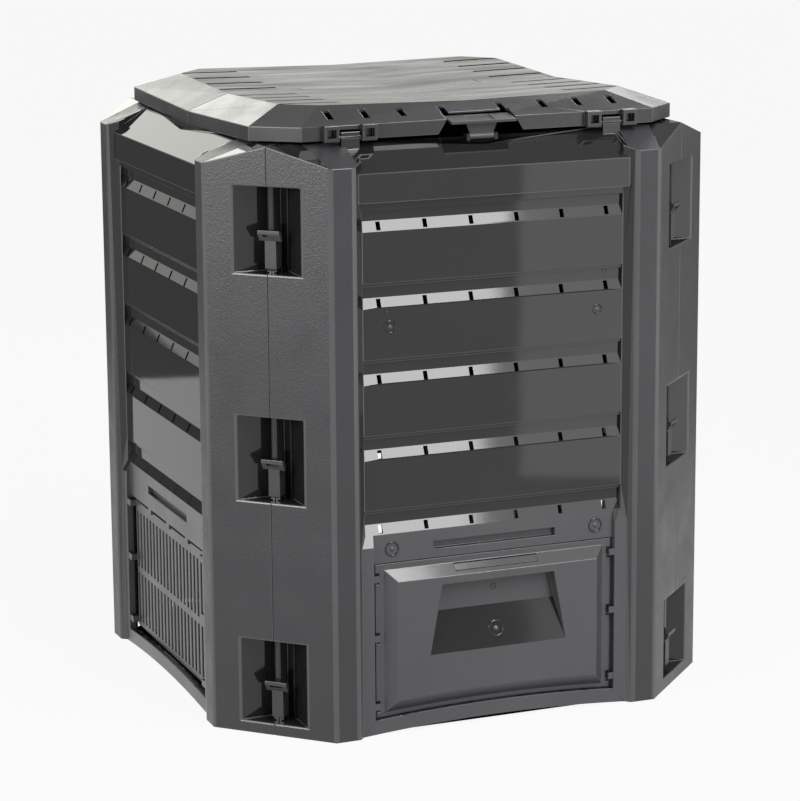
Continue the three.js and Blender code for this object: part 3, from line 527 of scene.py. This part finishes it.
# flags: the back left keeps the floor out of the left wall, the right one dims the right corner
flags = {
    "backLeft": {"from": (-1.8, 1.7), "to": (-0.3, 2.1), "span": (0.001, 0.64), "glow": 0.1},
    "right": {"from": (1.1, 0.1), "to": (2.3, 1.9), "span": (0.001, 0.7), "glow": 0.05},
}


def makeFlag(name, card):
    mesh = bpy.data.meshes.new(name)
    (x, y), (u, v) = card["from"], card["to"]
    foot, top = card["span"]
    mesh.from_pydata([(x, y, foot), (u, v, foot), (u, v, top), (x, y, top)], [], [(0, 1, 2, 3)])
    mesh.materials.append(floorMaterial(name + "Cloth", card["glow"]))
    flag = bpy.data.objects.new(name, mesh)
    scene.collection.objects.link(flag)
    flag.visible_camera = False


# softboxes: place, aim or turn, width and height in metres, glow; warm ones light the lid's top
softboxes = {
    "key": {"at": (0.849, -3.16, 2.95), "turn": 17.4, "size": (1.5, 4.6), "glow": 12.5},
    "keyRight": {"at": (2.473, -3.16, 2.95), "turn": 17.4, "size": (1.6, 4.6), "glow": 2.2},
    "left": {"at": (-2.6, -0.9, 1.45), "aim": (-0.3, -0.3, 0.5),
             "size": (1.6, 1.6), "glow": 10.2},
    "behindLeft": {"at": (-0.65, 3.0, 1.85), "aim": (-0.3, 0, 1.1),
                   "size": (1.0, 1.5), "glow": 1.8, "warm": True},
    "ledgeCard": {"at": (-1.55, 3.6, 0.95), "aim": (-0.35, 0, 0.5),
                  "size": (1.6, 0.8), "glow": 0.6, "warm": True},
    "behind": {"at": (0.15, 3.0, 1.55), "aim": (-0.1, 0, 1.1),
               "size": (0.6, 1.0), "glow": 2.7, "warm": True},
    "behindLow": {"at": (1.25, 3.2, 1.5), "aim": (0, 0, 0.9),
                  "size": (1.5, 1.0), "glow": 0.75, "warm": True},
    "backRight": {"at": (2.5, 2.8, 2.5), "aim": (0.28, -0.28, 0.8),
                  "size": (1.3, 1.0), "glow": 5.6},
    "rightCard": {"at": (1.214, -1.25, 0.36), "aim": (0.614, -0.1, 0.36),
                  "size": (1.4, 0.72), "glow": 1.0},
}


def makeSoftbox(name, box):
    light = bpy.data.lights.new(name, "AREA")
    light.shape = "RECTANGLE"
    wide, high = box["size"]
    light.size, light.size_y = wide, high
    light.color = studio["warmTint"] if "warm" in box else (1, 1, 1)
    light.energy = box["glow"] * math.pi * wide * high
    lamp = bpy.data.objects.new(name, light)
    lamp.location = box["at"]
    if "turn" in box:
        lamp.rotation_euler = (0, 0, math.radians(box["turn"]))
    else:
        beam = Vector(box["aim"]) - Vector(box["at"])
        lamp.rotation_euler = beam.to_track_quat("-Z", "Y").to_euler()
    lamp.visible_camera = False
    scene.collection.objects.link(lamp)


def makeWorld():
    world = bpy.data.worlds.new("studio")
    world.use_nodes = True
    shade = world.node_tree.nodes["Background"]
    shade.inputs["Color"].default_value = (1, 1, 1, 1)
    shade.inputs["Strength"].default_value = studio["world"]
    scene.world = world


makeFloor()
for name, card in flags.items():
    makeFlag(name, card)
for name, box in softboxes.items():
    makeSoftbox(name, box)
makeWorld()
print("studio lit")

# camera, solved from the bin's own corners; angles in degrees, focal length and axis in pixels
shot = {"azimuth": -21.97, "elevation": 12.146, "roll": -0.387, "distance": 4.1255,
        "across": 0.0035, "aimHeight": 0.3993, "focal": 2899.2, "frame": 801,
        "axis": (398.8, 378.0), "middle": (400, 400.5), "sensor": 36}


def makeCamera():
    azimuth, elevation, roll = (math.radians(shot[k]) for k in ("azimuth", "elevation", "roll"))
    back = Vector((math.sin(azimuth) * math.cos(elevation),
                   -math.cos(azimuth) * math.cos(elevation), math.sin(elevation)))
    right = Vector((math.cos(azimuth), math.sin(azimuth), 0))
    up = back.cross(right)
    tiltedRight = right * math.cos(roll) + up * math.sin(roll)
    tiltedUp = up * math.cos(roll) - right * math.sin(roll)
    aim = right * shot["across"] + Vector((0, 0, shot["aimHeight"]))
    data = bpy.data.cameras.new("camera")
    data.sensor_width = shot["sensor"]
    data.lens = shot["focal"] / shot["frame"] * shot["sensor"]
    data.shift_x = (shot["middle"][0] - shot["axis"][0]) / shot["frame"]
    data.shift_y = (shot["axis"][1] - shot["middle"][1]) / shot["frame"]
    camera = bpy.data.objects.new("camera", data)
    turned = Matrix((tiltedRight, tiltedUp, back)).transposed().to_4x4()
    camera.matrix_world = Matrix.Translation(aim + back * shot["distance"]) @ turned
    scene.collection.objects.link(camera)
    scene.camera = camera


makeCamera()
print("camera set")
